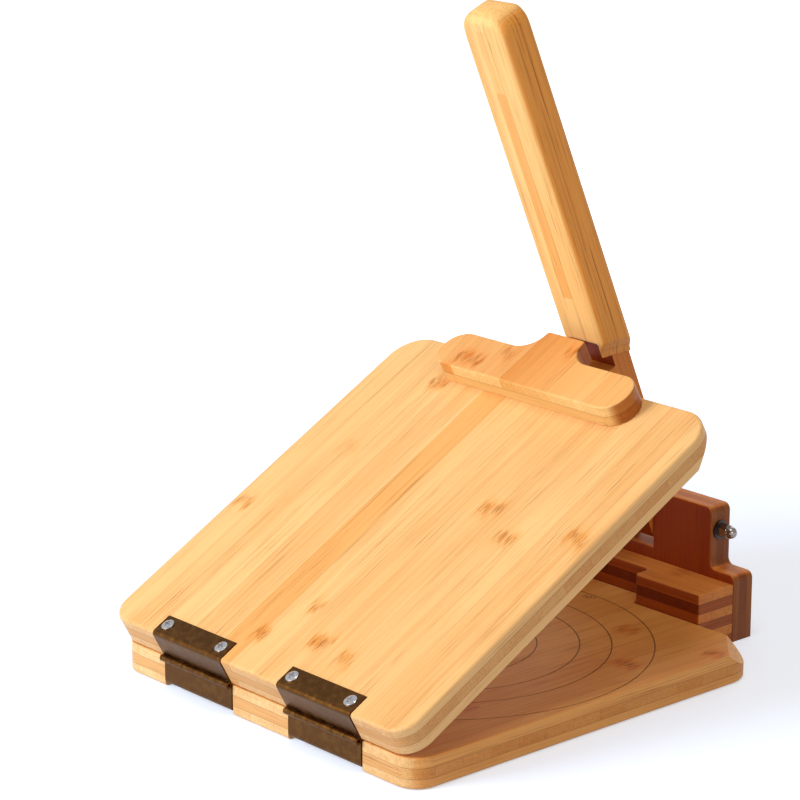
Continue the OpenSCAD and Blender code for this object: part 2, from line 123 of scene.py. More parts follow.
class Sketch:
    """A small pen for drawing node trees, for materials and groups alike."""

    def __init__(self, tree: Tree) -> None:
        """Keep the tree that the pen draws in."""
        self.tree = tree

    def node(self, kind: str, **settings: object) -> bpy.types.Node:
        """Add a node and set its plain properties.

        Args:
            kind: The node's type name.
            **settings: Properties to set on it.

        Returns:
            The new node.
        """
        made = self.tree.nodes.new(kind)
        for name, value in settings.items():
            setattr(made, name, value)
        return made

    def feed(self, socket: Socket, value: object) -> None:
        """Link a socket to an output, or set it to a plain value.

        Args:
            socket: The input socket.
            value: An output socket, a number or a tuple.
        """
        if isinstance(value, Socket):
            self.tree.links.new(value, socket)
        elif value is not None:
            socket.default_value = value

    def math(self, operation: str, first: object, second: object = None,
             third: object = None, clamp: bool = False) -> Socket:
        """Add a Math node.

        Args:
            operation: Its operation, such as MULTIPLY.
            first: First number or output.
            second: Second number or output.
            third: Third number or output.
            clamp: Whether the result is held between zero and one.

        Returns:
            The value output.
        """
        made = self.node("ShaderNodeMath", operation=operation, use_clamp=clamp)
        for place, value in enumerate((first, second, third)):
            if value is not None:
                self.feed(made.inputs[place], value)
        return made.outputs[0]

    def times(self, first: object, second: object) -> Socket:
        """Multiply two values."""
        return self.math("MULTIPLY", first, second)

    def plus(self, first: object, second: object, clamp: bool = False) -> Socket:
        """Add two values, held between zero and one if clamped."""
        return self.math("ADD", first, second, clamp=clamp)

    def minus(self, first: object, second: object) -> Socket:
        """Take the second value from the first."""
        return self.math("SUBTRACT", first, second)

    def absolute(self, value: object) -> Socket:
        """Drop a value's sign."""
        return self.math("ABSOLUTE", value)

    def ramp(self, value: object, low: float, high: float,
             to_low: float = 0.0, to_high: float = 1.0) -> Socket:
        """Smoothly map a value from one range to another.

        Args:
            value: The value to map.
            low: Where the change starts.
            high: Where the change ends.
            to_low: Result at and before low.
            to_high: Result at and after high.

        Returns:
            The mapped value.
        """
        made = self.node("ShaderNodeMapRange", interpolation_type="SMOOTHSTEP")
        for place, part in enumerate((value, low, high, to_low, to_high)):
            self.feed(made.inputs[place], part)
        return made.outputs[0]

    def mix(self, factor: object, first: object, second: object,
            blend: str = "MIX") -> Socket:
        """Mix two colours.

        Args:
            factor: Share of the second colour.
            first: First colour.
            second: Second colour.
            blend: Blend mode.

        Returns:
            The mixed colour.
        """
        made = self.node("ShaderNodeMix", data_type="RGBA", blend_type=blend)
        self.feed(made.inputs[0], factor)
        self.feed(made.inputs[6], first)
        self.feed(made.inputs[7], second)
        return made.outputs[2]

    def noise(self, vector: object, scale: float, detail: float = 2.0,
              roughness: float = 0.5, distortion: float = 0.0) -> Socket:
        """Add a noise texture.

        Args:
            vector: Where it is read.
            scale: Its scale.
            detail: Number of octaves.
            roughness: Strength of the fine octaves.
            distortion: How much it is warped.

        Returns:
            The grey value.
        """
        made = self.node("ShaderNodeTexNoise", noise_dimensions="3D")
        self.feed(made.inputs["Vector"], vector)
        for name, value in (("Scale", scale), ("Detail", detail),
                            ("Roughness", roughness), ("Distortion", distortion)):
            self.feed(made.inputs[name], value)
        return made.outputs[0]

    def streaks(self, parts: Sequence[object], scales: Sequence[float], detail: float,
                roughness: float = 0.5) -> Socket:
        """Add noise that is stretched along the axes.

        Args:
            parts: Values along the three axes.
            scales: Scale of each axis; one leaves that value as it is.
            detail: Number of octaves.
            roughness: Strength of the fine octaves.

        Returns:
            The grey value.
        """
        scaled = [part if scale == 1.0 else self.times(part, scale)
                  for part, scale in zip(parts, scales)]
        return self.noise(self.combine(*scaled), 1.0, detail, roughness)

    def group(self, tree: Tree, **values: object) -> bpy.types.Node:
        """Place a shared group and feed it.

        Args:
            tree: The shared group.
            **values: Its inputs by name, with underscores for spaces.

        Returns:
            The group's node.
        """
        made = self.node("ShaderNodeGroup")
        made.node_tree = tree
        for label, value in values.items():
            self.feed(made.inputs[label.replace("_", " ")], value)
        return made

    def emboss(self, shader: bpy.types.Node, height: object, strength: float,
               depth: float) -> None:
        """Give a shader its fine relief.

        Args:
            shader: The shader node.
            height: Height between zero and one.
            strength: Strength of the relief.
            depth: Its depth in millimetres.
        """
        bump = self.node("ShaderNodeBump")
        bump.inputs["Strength"].default_value = strength
        bump.inputs["Distance"].default_value = depth * MM
        self.feed(bump.inputs["Height"], height)
        self.feed(shader.inputs["Normal"], bump.outputs[0])

    def combine(self, x: object, y: object, z: object) -> Socket:
        """Join three values into a vector.

        Args:
            x: First value.
            y: Second value.
            z: Third value.

        Returns:
            The vector.
        """
        made = self.node("ShaderNodeCombineXYZ")
        for place, value in enumerate((x, y, z)):
            self.feed(made.inputs[place], value)
        return made.outputs[0]

    def split(self, vector: object) -> tuple[Socket, ...]:
        """Split a vector.

        Args:
            vector: The vector.

        Returns:
            Its three values.
        """
        made = self.node("ShaderNodeSeparateXYZ")
        self.feed(made.inputs[0], vector)
        return made.outputs[0], made.outputs[1], made.outputs[2]

    def random(self, value: object) -> tuple[Socket, ...]:
        """Draw random values that depend on one number.

        Args:
            value: The number.

        Returns:
            Three values between zero and one.
        """
        made = self.node("ShaderNodeTexWhiteNoise", noise_dimensions="1D")
        self.feed(made.inputs["W"], value)
        return self.split(made.outputs["Color"])


def new_material(name: str) -> tuple[bpy.types.Material, Sketch, bpy.types.Node]:
    """Start a material.

    Args:
        name: Its name.

    Returns:
        The material, a pen for its tree and its shader node.
    """
    material = bpy.data.materials.new(name)
    material.use_nodes = True
    tree = material.node_tree
    return material, Sketch(tree), tree.nodes["Principled BSDF"]


def place_object(name: str, data: bpy.types.ID) -> bpy.types.Object:
    """Put an object with its data into the scene.

    Args:
        name: Its name.
        data: Its mesh, lamp, camera or text.

    Returns:
        The object.
    """
    made = bpy.data.objects.new(name, data)
    bpy.context.scene.collection.objects.link(made)
    return made


class GroupSocket(Enum):
    """Kinds of socket that a shared group may have."""

    NUMBER = "NodeSocketFloat"
    COLOUR = "NodeSocketColor"
    VECTOR = "NodeSocketVector"


def new_group(name: str, inputs: Sequence[tuple[str, GroupSocket]],
              outputs: Sequence[tuple[str, GroupSocket]]
              ) -> tuple[Tree, Sketch, bpy.types.Node, bpy.types.Node]:
    """Start a shared shader group.

    Args:
        name: The group's name.
        inputs: Names and kinds of its inputs.
        outputs: Names and kinds of its outputs.

    Returns:
        The tree, a pen for it, its input node and its output node.
    """
    tree = bpy.data.node_groups.new(name, "ShaderNodeTree")
    for label, kind in inputs:
        tree.interface.new_socket(name=label, in_out="INPUT", socket_type=kind.value)
    for label, kind in outputs:
        tree.interface.new_socket(name=label, in_out="OUTPUT", socket_type=kind.value)
    pen = Sketch(tree)
    return tree, pen, pen.node("NodeGroupInput"), pen.node("NodeGroupOutput")


def build_culm_group() -> Tree:
    """Build the shared mark that a culm joint leaves on one strip.

    In words: a wavy line crosses the strip. On it lie short dashes along the
    fibres, each pushed to one side by its own amount, which gives a fringe,
    and a soft stain fades away on both sides.

    Returns:
        The group, with Stain and Dashes outputs between zero and one.
    """
    tree, pen, given, result = new_group(
        "culm_mark",
        [("Vector", GroupSocket.VECTOR), ("X", GroupSocket.NUMBER),
         ("Y", GroupSocket.NUMBER), ("Width", GroupSocket.NUMBER),
         ("Seed", GroupSocket.NUMBER)],
        [("Stain", GroupSocket.NUMBER), ("Dashes", GroupSocket.NUMBER)])
    across, along, through = pen.split(given.outputs["Vector"])
    seed = given.outputs["Seed"]
    aside = pen.absolute(pen.minus(across, given.outputs["X"]))
    half = pen.times(given.outputs["Width"], 0.5)
    within = pen.ramp(pen.math("DIVIDE", aside, half), 1.0, 0.72)
    wave = pen.streaks((across, along, seed), (0.22, 0.02, 1.0), 2.0, 0.6)
    away = pen.plus(pen.minus(along, given.outputs["Y"]), pen.times(pen.minus(wave, 0.5), 16.0))
    push = pen.noise(pen.combine(pen.times(across, 1.3), seed, 3.1), 1.0, 2.0, 0.7)
    fringe = pen.plus(away, pen.times(pen.minus(push, 0.5), 22.0))
    fibre = pen.streaks((across, along, seed), (2.1, 0.08, 1.0), 2.0, 0.6)
    dashes = pen.times(pen.ramp(fibre, 0.48, 0.55), pen.ramp(pen.absolute(fringe), 4.6, 2.6))
    patch = pen.streaks((across, along, seed), (0.26, 0.10, 1.0), 2.0)
    stain = pen.times(pen.ramp(pen.absolute(away), 12.0, 1.0), pen.ramp(patch, 0.30, 0.60))
    tree.links.new(pen.times(stain, within), result.inputs["Stain"])
    tree.links.new(pen.times(dashes, within), result.inputs["Dashes"])
    return tree


def build_plank_group() -> Tree:
    """Build the shared mask of one plank of another tone, glued into a board.

    In words: a rectangle with crisp edges across the strips, whose strength
    may fade from its low side to its high side.

    Returns:
        The group, with a Mask output and a Line output along the low side.
    """
    tree, pen, given, result = new_group(
        "plank_mask",
        [("Vector", GroupSocket.VECTOR), ("Low X", GroupSocket.NUMBER),
         ("High X", GroupSocket.NUMBER), ("Low Y", GroupSocket.NUMBER),
         ("High Y", GroupSocket.NUMBER), ("Low Z", GroupSocket.NUMBER),
         ("Fade", GroupSocket.NUMBER)],
        [("Mask", GroupSocket.NUMBER), ("Line", GroupSocket.NUMBER)])
    across, along, through = pen.split(given.outputs["Vector"])
    mask = pen.ramp(pen.minus(through, given.outputs["Low Z"]), -0.2, 0.2)
    for value, low, high in ((across, "Low X", "High X"), (along, "Low Y", "High Y")):
        inside = pen.math("MINIMUM", pen.minus(value, given.outputs[low]),
                          pen.minus(given.outputs[high], value))
        mask = pen.times(mask, pen.ramp(inside, -0.2, 0.2))
    width = pen.minus(given.outputs["High X"], given.outputs["Low X"])
    from_low = pen.minus(across, given.outputs["Low X"])
    share = pen.math("DIVIDE", from_low, width, clamp=True)
    weaker = pen.minus(1.0, pen.times(share, given.outputs["Fade"]))
    line = pen.times(pen.ramp(pen.absolute(from_low), 0.5, 0.1), mask)
    tree.links.new(pen.times(mask, weaker), result.inputs["Mask"])
    tree.links.new(line, result.inputs["Line"])
    return tree


def build_bamboo_group(culm: Tree) -> Tree:
    """Build the shared bamboo figure.

    In words: the wood is cut into strips of one width; each strip takes a
    random tone. Long thin noise, stretched along the fibres, gives streaks of
    two sizes, which turn into specks on a face cut across the fibres. A dark
    hairline marks each glue joint, and once in a while a strip shows a culm
    joint.

    Args:
        culm: The shared culm mark.

    Returns:
        The group, with Color, Height and Roughness outputs.
    """
    tree, pen, given, result = new_group(
        "bamboo_figure",
        [("Vector", GroupSocket.VECTOR), ("Normal", GroupSocket.VECTOR),
         ("Strip Width", GroupSocket.NUMBER), ("Seed", GroupSocket.NUMBER),
         ("Light", GroupSocket.COLOUR), ("Deep", GroupSocket.COLOUR),
         ("End", GroupSocket.COLOUR), ("Knots", GroupSocket.NUMBER)],
        [("Color", GroupSocket.COLOUR), ("Height", GroupSocket.NUMBER),
         ("Roughness", GroupSocket.NUMBER)])
    vector, normal = given.outputs["Vector"], given.outputs["Normal"]
    width = given.outputs["Strip Width"]
    across, along, through = pen.split(vector)
    seed = given.outputs["Seed"]
    place = pen.plus(pen.math("DIVIDE", across, width), seed)
    index = pen.math("FLOOR", place)
    part = pen.math("FRACT", place)
    tone, shift, spread = pen.random(pen.plus(index, pen.times(seed, 31.7)))

    slid = pen.plus(along, pen.times(shift, 900.0))
    run = (across, slid, through)
    fine = pen.streaks(run, (1.7, 0.014, 1.7), 3.0, 0.66)
    broad = pen.streaks(run, (0.30, 0.005, 0.30), 2.0)
    cloud = pen.streaks(run, (0.03, 0.012, 1.0), 1.0)
    gather = pen.streaks(run, (0.07, 0.007, 1.0), 1.0)

    # share of the deep tone, with streaks that gather in some places
    streak = pen.times(pen.ramp(fine, 0.44, 0.70), pen.ramp(gather, 0.34, 0.64, 0.14, 0.46))
    deep = pen.plus(pen.times(tone, 0.34), streak)
    deep = pen.plus(deep, pen.ramp(broad, 0.40, 0.70, -0.06, 0.16))
    deep = pen.plus(deep, pen.ramp(cloud, 0.3, 0.7, -0.08, 0.10), clamp=True)
    colour = pen.mix(deep, given.outputs["Light"], given.outputs["Deep"])

    # dark vessels: hairlines along the fibres
    vessel = pen.streaks(run, (1.5, 0.016, 1.5), 2.0, 0.75)
    vessel = pen.times(pen.ramp(vessel, 0.57, 0.67), pen.ramp(gather, 0.36, 0.62, 0.16, 0.62))
    colour = pen.mix(vessel, colour, given.outputs["End"])

    # faces cut across the fibres
    _, facing, _ = pen.split(normal)
    cut = pen.ramp(pen.absolute(facing), 0.45, 0.9)
    specks = pen.streaks((across, along, through), (1.5, 0.2, 1.5), 3.0, 0.7)
    end = pen.mix(pen.ramp(specks, 0.44, 0.66, 0.0, 0.80), colour, given.outputs["End"])
    colour = pen.mix(pen.times(cut, 0.34), colour, end)

    # glue joints between strips
    edge = pen.times(pen.math("MINIMUM", part, pen.minus(1.0, part)), width)
    joint = pen.ramp(edge, 0.05, 0.30, 0.30, 0.0)
    colour = pen.mix(joint, colour, given.outputs["End"])

    # culm joints: one place along a strip in every turn of its pattern
    spot = pen.math("FRACT", pen.plus(pen.math("DIVIDE", along, CULM_SPACING),
                                      pen.times(spread, 5.0)))
    away = pen.times(pen.minus(spot, 0.5), CULM_SPACING)
    centre = pen.times(pen.plus(pen.minus(index, seed), 0.5), width)
    mark = pen.group(culm, Vector=pen.combine(across, away, through), X=centre, Y=0.0,
                     Width=width, Seed=spread)
    knots = given.outputs["Knots"]
    stain = pen.times(mark.outputs["Stain"], knots)
    dashes = pen.times(mark.outputs["Dashes"], knots)
    colour = pen.mix(pen.times(stain, 0.6), colour, given.outputs["Deep"])
    colour = pen.mix(pen.times(dashes, 0.6), colour, given.outputs["End"])

    tree.links.new(colour, result.inputs["Color"])
    height = pen.minus(pen.times(fine, -0.35), pen.times(dashes, 0.3))
    tree.links.new(height, result.inputs["Height"])
    tree.links.new(pen.ramp(fine, 0.35, 0.75, 0.42, 0.56), result.inputs["Roughness"])
    return tree


def build_scuff_group() -> Tree:
    """Build the shared scuffing for plated metal.

    In words: slow noise gives cloudy tarnish, fast stretched noise gives fine
    scratches, and both together rub the plating lighter.

    Returns:
        The group, with Color, Height and Roughness outputs.
    """
    tree, pen, given, result = new_group(
        "metal_scuffs",
        [("Vector", GroupSocket.VECTOR), ("Plating", GroupSocket.COLOUR),
         ("Rubbed", GroupSocket.COLOUR), ("Wear", GroupSocket.NUMBER),
         ("Rough", GroupSocket.NUMBER)],
        [("Color", GroupSocket.COLOUR), ("Height", GroupSocket.NUMBER),
         ("Roughness", GroupSocket.NUMBER)])
    across, along, up = pen.split(given.outputs["Vector"])
    cloudy = pen.noise(given.outputs["Vector"], 0.22, 3.0, 0.6)
    scratch = pen.streaks((across, along, up), (0.25, 2.8, 2.8), 3.0, 0.7)
    worn = pen.times(pen.ramp(cloudy, 0.42, 0.68), 0.55)
    worn = pen.plus(worn, pen.ramp(scratch, 0.55, 0.75, 0.0, 0.6), clamp=True)
    worn = pen.times(worn, given.outputs["Wear"])
    tree.links.new(pen.mix(worn, given.outputs["Plating"], given.outputs["Rubbed"]),
                   result.inputs["Color"])
    tree.links.new(pen.times(scratch, 0.4), result.inputs["Height"])
    tree.links.new(pen.plus(given.outputs["Rough"],
                            pen.ramp(cloudy, 0.3, 0.7, -0.06, 0.10)),
                   result.inputs["Roughness"])
    return tree


@dataclass(frozen=True)
class Turn:
    """A shift and turns about X and Z that bring a piece into the wood's axes.

    Attributes:
        centre: Point that goes to the origin, in metres.
        about_x: Turn about X in degrees.
        about_z: Turn about Z in degrees, made after the one about X.
    """

    centre: Point = (0.0, 0.0, 0.0)
    about_x: float = 0.0
    about_z: float = 0.0

    def matrix(self) -> Matrix:
        """Return the rotation part."""
        return (Matrix.Rotation(math.radians(self.about_z), 3, "Z")
                @ Matrix.Rotation(math.radians(self.about_x), 3, "X"))

    def place(self, pen: Sketch, vector: Socket,
              as_normal: bool = False) -> Socket:
        """Turn a vector, in millimetres, into the wood's axes.

        Args:
            pen: The pen to draw with.
            vector: Object coordinates in metres, or a normal.
            as_normal: Whether only the turn applies.

        Returns:
            The turned vector.
        """
        turn = self.matrix()
        angles = turn.to_euler("XYZ")
        mapping = pen.node("ShaderNodeMapping", vector_type="POINT")
        pen.feed(mapping.inputs["Vector"], vector)
        mapping.inputs["Rotation"].default_value = tuple(angles)
        if not as_normal:
            shift = turn @ (-Vector(self.centre) / MM)
            mapping.inputs["Location"].default_value = tuple(shift)
            mapping.inputs["Scale"].default_value = (1 / MM,) * 3
        return mapping.outputs[0]


TURNS: dict[Grain, Turn] = {
    Grain.BOARD: Turn(),
    Grain.LID: Turn(centre=(0.0, HINGE_Y * MM, BOARD_THICKNESS * MM), about_x=-OPEN_ANGLE),
    Grain.BLOCK: Turn(about_z=90.0),
    Grain.POST: Turn(centre=(0.0, POST_Y * MM, 0.0), about_x=90.0),
    Grain.LEVER: Turn(centre=(0.0, PIVOT_Y * MM, PIVOT_Z * MM),
                      about_x=-90.0 - LEAN_ANGLE),
}


@dataclass(frozen=True)
class Culm:
    """One culm joint that shows on a board.

    Attributes:
        x: Its middle across the strips in millimetres.
        y: Its place along the fibres in millimetres.
        width: Its width in millimetres.
        amount: Its strength.
    """

    x: float
    y: float
    width: float
    amount: float = 1.0


@dataclass(frozen=True)
class Plank:
    """One plank of another tone in a board.

    Attributes:
        x: Its low and high side across the strips in millimetres.
        y: Its low and high end along the fibres in millimetres.
        tint: Its display colour.
        amount: How much of the tint shows.
        fade: How much weaker it is at its high side.
        line: Strength of the glue line at its low side.
        low_z: Its underside through the layers in millimetres.
    """

    x: tuple[float, float]
    y: tuple[float, float]
    tint: Tint
    amount: float = 0.5
    fade: float = 0.0
    line: float = 0.0
    low_z: float = -1000.0


@dataclass(frozen=True)
class PaintedFaceShade:
    """Painted shade for the faces of a piece that look one way: a tint multiplied onto them for
    how light falls there.

    Attributes:
        axis: 0 across the strips, 1 along the fibres, 2 through the layers.
        side: 1 or -1 for one side, 0 for both.
        tint: The display colour multiplied on as painted shade.
    """

    axis: int
    side: int
    tint: Tint


@dataclass(frozen=True)
class Figures:
    """The shared groups that bamboo finishes draw with.

    Attributes:
        bamboo: The bamboo figure.
        culm: The mark of a culm joint.
        plank: The mask of a plank.
    """

    bamboo: Tree
    culm: Tree
    plank: Tree


@dataclass(frozen=True)
class BambooFinish:
    """Oiled laminated bamboo.

    Attributes:
        name: Material name.
        grain: How the wood lies in the piece.
        light: Display colour of the light fibres.
        deep: Display colour of the deep fibres.
        end: Display colour of cut fibres and joints.
        strip: Width of a strip in millimetres.
        seed: Number that picks the run of tones.
        knots: Strength of the scattered culm joints.
        ply: Thickness of a layer in millimetres, or zero for wood in one run.
        plies: Number of layers.
        offset: Height of the lowest layer's underside in millimetres.
        turned: Whether the lowest layer is a crossed one.
        culms: Culm joints at given places.
        planks: Planks of another tone.
        rings: Diameters of burnt rings in millimetres.
        bump: Depth of the open fibres in millimetres.
        faces: Painted shade: tints multiplied onto the faces that look certain ways, for how
            light falls on them.
        seams: Heights of glue lines along the fibres, each with its strength.
        crossed: Display tint of the crossed layers where they are cut.
    """

    name: str
    grain: Grain
    light: Tint = (243, 199, 137)
    deep: Tint = (222, 156, 88)
    end: Tint = (160, 102, 54)
    strip: float = 21.0
    seed: float = 0.3
    knots: float = 0.0
    ply: float = PLY
    plies: int = 3
    offset: float = 0.0
    turned: bool = False
    culms: tuple[Culm, ...] = ()
    planks: tuple[Plank, ...] = ()
    rings: tuple[float, ...] = ()
    bump: float = 0.12
    faces: tuple[PaintedFaceShade, ...] = ()
    seams: tuple[tuple[float, float], ...] = ()
    crossed: Tint = (238, 222, 204)

    def glued(self, pen: Sketch, vector: Socket,
              normal: Socket,
              colour: Socket) -> Socket:
        """Draw broken glue lines on the faces that look across the strips.

        Args:
            pen: The pen to draw with.
            vector: Place in the wood's axes, in millimetres.
            normal: Facing in the wood's axes.
            colour: Point so far.

        Returns:
            The colour with its glue lines.
        """
        across, along, through = pen.split(vector)
        facing = pen.ramp(pen.absolute(pen.split(normal)[0]), 0.5, 0.9)
        for height, amount in self.seams:
            gap = pen.noise(pen.combine(across, pen.times(along, 0.02), height), 1.0, 2.0, 0.6)
            off = pen.absolute(pen.minus(through, height))
            line = pen.times(pen.ramp(off, 0.75, 0.15), pen.ramp(gap, 0.34, 0.56))
            line = pen.times(pen.times(line, facing), amount)
            colour = pen.mix(line, colour, linear(*self.end))
        return colour

    def tinted(self, pen: Sketch, normal: Socket,
               colour: Socket) -> Socket:
        """Paint shade onto each face by the way it looks: each is multiplied by a tint for how
        light falls on it.

        Args:
            pen: The pen to draw with.
            normal: Facing in the wood's axes.
            colour: Point so far.

        Returns:
            The colour with its face tints.
        """
        parts = pen.split(normal)
        for face in self.faces:
            part = parts[face.axis]
            towards = (pen.times(part, float(face.side)) if face.side else pen.absolute(part))
            facing = pen.ramp(towards, 0.45, 0.85)
            # painted shade: multiply the faces that look this way by their tint
            colour = pen.mix(facing, colour, linear(*face.tint), "MULTIPLY")
        return colour

    def layered(self, pen: Sketch, figures: Figures, vector: Socket,
                normal: Socket, colour: Socket,
                figure: Callable[..., bpy.types.Node]) -> Socket:
        """Cross every second layer and draw the glue lines between layers.

        Args:
            pen: The pen to draw with.
            figures: The shared groups; not used.
            vector: Place in the wood's axes, in millimetres.
            normal: Facing in the wood's axes.
            colour: Point of the uncrossed layers.
            figure: Places the shared bamboo group.

        Returns:
            The colour with its layers.
        """
        x, y, z = pen.split(vector)
        nx, ny, nz = pen.split(normal)
        crossed = figure(pen.combine(y, x, z), pen.combine(ny, nx, nz), self.seed + 4.37)
        middle = self.offset + self.ply * self.plies / 2
        count = pen.times(pen.minus(z, middle), 0.998 / self.ply)
        first = self.plies / 2 + 40 + (1 if self.turned else 0)
        count = pen.plus(count, first)
        parity = pen.math("MODULO", pen.math("FLOOR", count), 2.0)
        level = pen.ramp(pen.absolute(nz), 0.75, 0.35)
        toned = pen.mix(level, crossed.outputs["Color"], linear(*self.crossed), "MULTIPLY")
        colour = pen.mix(parity, colour, toned)
        seam = pen.math("FRACT", count)
        seam = pen.math("MINIMUM", seam, pen.minus(1.0, seam))
        line = pen.times(pen.ramp(seam, 0.012, 0.05, 0.6, 0.0), level)
        return pen.mix(line, colour, linear(*self.end))

    def marked(self, pen: Sketch, figures: Figures, vector: Socket,
               colour: Socket) -> Socket:
        """Draw the culm joints at their given places.

        Args:
            pen: The pen to draw with.
            figures: The shared groups.
            vector: Place in the wood's axes, in millimetres.
            colour: Point so far.

        Returns:
            The colour with its marks.
        """
        stain: object = 0.0
        dashes: object = 0.0
        for count, mark in enumerate(self.culms):
            group = pen.group(figures.culm, Vector=vector, X=mark.x, Y=mark.y,
                              Width=mark.width, Seed=self.seed + 1.3 * count)
            stain = pen.math("MAXIMUM", stain, pen.times(group.outputs["Stain"], mark.amount))
            dashes = pen.math("MAXIMUM", dashes, pen.times(group.outputs["Dashes"], mark.amount))
        colour = pen.mix(pen.times(stain, 0.66), colour, linear(*STAIN_TINT))
        return pen.mix(pen.times(dashes, 0.66), colour, linear(*DASH_TINT))

    def build(self, figures: Figures) -> bpy.types.Material:
        """Build the material.

        Args:
            figures: The shared groups.

        Returns:
            The finished material.
        """
        material, pen, shader = new_material(self.name)
        coordinates = pen.node("ShaderNodeTexCoord")
        turn = TURNS[self.grain]
        vector = turn.place(pen, coordinates.outputs["Object"])
        normal = turn.place(pen, coordinates.outputs["Normal"], as_normal=True)

        def figure(where: object, facing: object, seed: float) -> bpy.types.Node:
            """Place the shared group with this finish's values.

            Args:
                where: Place in the wood's axes, in millimetres.
                facing: Normal in the wood's axes.
                seed: Number that picks the run of tones.

            Returns:
                The group's node.
            """
            return pen.group(figures.bamboo, Vector=where, Normal=facing,
                             Strip_Width=self.strip, Seed=seed, Light=linear(*self.light),
                             Deep=linear(*self.deep), End=linear(*self.end), Knots=self.knots)

        main = figure(vector, normal, self.seed)
        colour, height = main.outputs["Color"], main.outputs["Height"]
        for plank in self.planks:
            group = pen.group(figures.plank, Vector=vector, Low_X=plank.x[0],
                              High_X=plank.x[1], Low_Y=plank.y[0], High_Y=plank.y[1],
                              Low_Z=plank.low_z, Fade=plank.fade)
            tinted = pen.mix(1.0, colour, linear(*plank.tint), "MULTIPLY")
            colour = pen.mix(pen.times(group.outputs["Mask"], plank.amount), colour, tinted)
            colour = pen.mix(pen.times(group.outputs["Line"], plank.line),
                             colour, linear(*self.end))
        if self.ply > 0:
            colour = self.layered(pen, figures, vector, normal, colour, figure)
        if self.culms:
            colour = self.marked(pen, figures, vector, colour)
        if self.seams:
            colour = self.glued(pen, vector, normal, colour)
        # painted shade on the faces by the way they look
        colour = self.tinted(pen, normal, colour)
        x, y, z = pen.split(vector)
        for diameter in self.rings:
            radius = pen.math("SQRT", pen.plus(pen.math("POWER", x, 2.0),
                pen.math("POWER", pen.minus(y, RING_CENTRE_Y), 2.0)))
            off = pen.absolute(pen.minus(radius, diameter / 2))
            burnt = pen.times(pen.ramp(off, 0.26, 0.50, 0.80, 0.0),
                              pen.ramp(z, BOARD_THICKNESS - 1.0, BOARD_THICKNESS - 0.8))
            colour = pen.mix(burnt, colour, linear(*RING_TINT))
        pen.feed(shader.inputs["Base Color"], colour)
        pen.feed(shader.inputs["Roughness"], main.outputs["Roughness"])
        shader.inputs["Specular IOR Level"].default_value = 0.24
        pen.emboss(shader, height, 0.5, self.bump)
        return material


@dataclass(frozen=True)
class MetalFinish:
    """A plated or polished metal.

    Attributes:
        name: Material name.
        plating: Display colour of the plating.
        rubbed: Display colour where it is rubbed.
        wear: Strength of the rubbing.
        rough: Middle roughness.
        bump: Depth of the scratches in millimetres.
    """

    name: str
    plating: Tint
    rubbed: Tint
    wear: float = 0.5
    rough: float = 0.38
    bump: float = 0.02

    def build(self, scuffs: Tree) -> bpy.types.Material:
        """Build the material.

        Args:
            scuffs: The shared scuffing group.

        Returns:
            The finished material.
        """
        material, pen, shader = new_material(self.name)
        coordinates = pen.node("ShaderNodeTexCoord")
        mapping = pen.node("ShaderNodeMapping")
        mapping.inputs["Scale"].default_value = (1 / MM,) * 3
        pen.feed(mapping.inputs["Vector"], coordinates.outputs["Object"])
        group = pen.group(scuffs, Vector=mapping.outputs[0], Plating=linear(*self.plating),
                          Rubbed=linear(*self.rubbed), Wear=self.wear, Rough=self.rough)
        shader.inputs["Metallic"].default_value = 1.0
        pen.feed(shader.inputs["Base Color"], group.outputs["Color"])
        pen.feed(shader.inputs["Roughness"], group.outputs["Roughness"])
        pen.emboss(shader, group.outputs["Height"], 0.4, self.bump)
        return material


def burnt_ink() -> bpy.types.Material:
    """Build the burnt brown of the engraved numbers.

    Returns:
        The finished material.
    """
    material, pen, shader = new_material("burnt_numbers")
    coordinates = pen.node("ShaderNodeTexCoord")
    value = pen.noise(coordinates.outputs["Object"], 900.0, 2.0)
    pen.feed(shader.inputs["Base Color"],
             pen.mix(pen.ramp(value, 0.35, 0.65), linear(86, 44, 18), linear(132, 78, 38)))
    shader.inputs["Roughness"].default_value = 0.7
    return material


def dress(name: str, material: bpy.types.Material) -> None:
    """Give a carried-over node one finish in all its slots.

    Args:
        name: The node's name.
        material: The finish.
    """
    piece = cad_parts[name]
    slots = piece.material_slots
    if len(slots) == 0:
        piece.data.materials.append(material)
    for place in slots:
        place.material = material
    LOG.info("dressed %s in %s", name, material.name)


# --------------------------------------------------------------------------
# Sub-assemblies
# --------------------------------------------------------------------------


